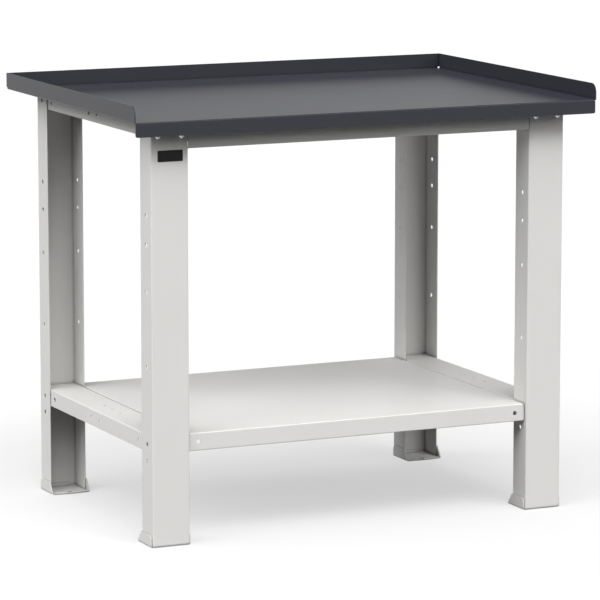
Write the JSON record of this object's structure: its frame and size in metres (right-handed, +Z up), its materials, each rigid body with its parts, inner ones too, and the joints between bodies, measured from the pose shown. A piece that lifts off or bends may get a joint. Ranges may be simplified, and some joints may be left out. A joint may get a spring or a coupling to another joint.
{
  "type": "assembly table",
  "caption": "Sheet-steel workshop table: dark tray worktop with rear and side upstands on light grey channel legs with hole rows, cross members, rails, base plates and a lower shelf.",
  "frame": {"origin": "on the floor, under the middle of the worktop", "axes": "+X to the right along the width, +Y to the back, +Z up"},
  "size_m": [1.012, 0.705, 0.882],
  "materials": {
    "frame_paint": "light grey powder coat, satin, fine orange peel",
    "worktop_paint": "anthracite powder coat, satin to semi-gloss",
    "zinc": "bright zinc plating",
    "plate_black": "smooth black, bare"
  },
  "bodies": {
    "root": {"worktop": "worktop_paint", "blank_plate": "plate_black", "worktop_stiffener_front": "frame_paint", "worktop_stiffener_rear": "frame_paint", "shelf_stiffener": "frame_paint", "front_rail": "frame_paint", "rear_rail": "frame_paint", "shelf_panel": "frame_paint", "upper_cross_member_left": "frame_paint", "upper_cross_member_right": "frame_paint", "lower_cross_member_left": "frame_paint", "lower_cross_member_right": "frame_paint", "leg_front_left": "frame_paint", "foot_front_left": "frame_paint", "rail_bolt_front_left": "zinc", "rail_nut_front_left": "zinc", "shelf_bolt_front_left": "zinc", "shelf_nut_front_left": "zinc", "leg_screw_front_left_inner": "zinc", "leg_screw_front_left_outer": "zinc", "worktop_stud_front_left": "zinc", "worktop_nut_front_left": "zinc", "leg_front_right": "frame_paint", "foot_front_right": "frame_paint", "rail_bolt_front_right": "zinc", "rail_nut_front_right": "zinc", "shelf_bolt_front_right": "zinc", "shelf_nut_front_right": "zinc", "leg_screw_front_right_inner": "zinc", "leg_screw_front_right_outer": "zinc", "worktop_stud_front_right": "zinc", "worktop_nut_front_right": "zinc", "leg_rear_left": "frame_paint", "foot_rear_left": "frame_paint", "rail_bolt_rear_left": "zinc", "rail_nut_rear_left": "zinc", "shelf_bolt_rear_left": "zinc", "shelf_nut_rear_left": "zinc", "leg_screw_rear_left_inner": "zinc", "leg_screw_rear_left_outer": "zinc", "worktop_stud_rear_left": "zinc", "worktop_nut_rear_left": "zinc", "leg_rear_right": "frame_paint", "foot_rear_right": "frame_paint", "rail_bolt_rear_right": "zinc", "rail_nut_rear_right": "zinc", "shelf_bolt_rear_right": "zinc", "shelf_nut_rear_right": "zinc", "leg_screw_rear_right_inner": "zinc", "leg_screw_rear_right_outer": "zinc", "worktop_stud_rear_right": "zinc", "worktop_nut_rear_right": "zinc"}
  },
  "joints": []
}
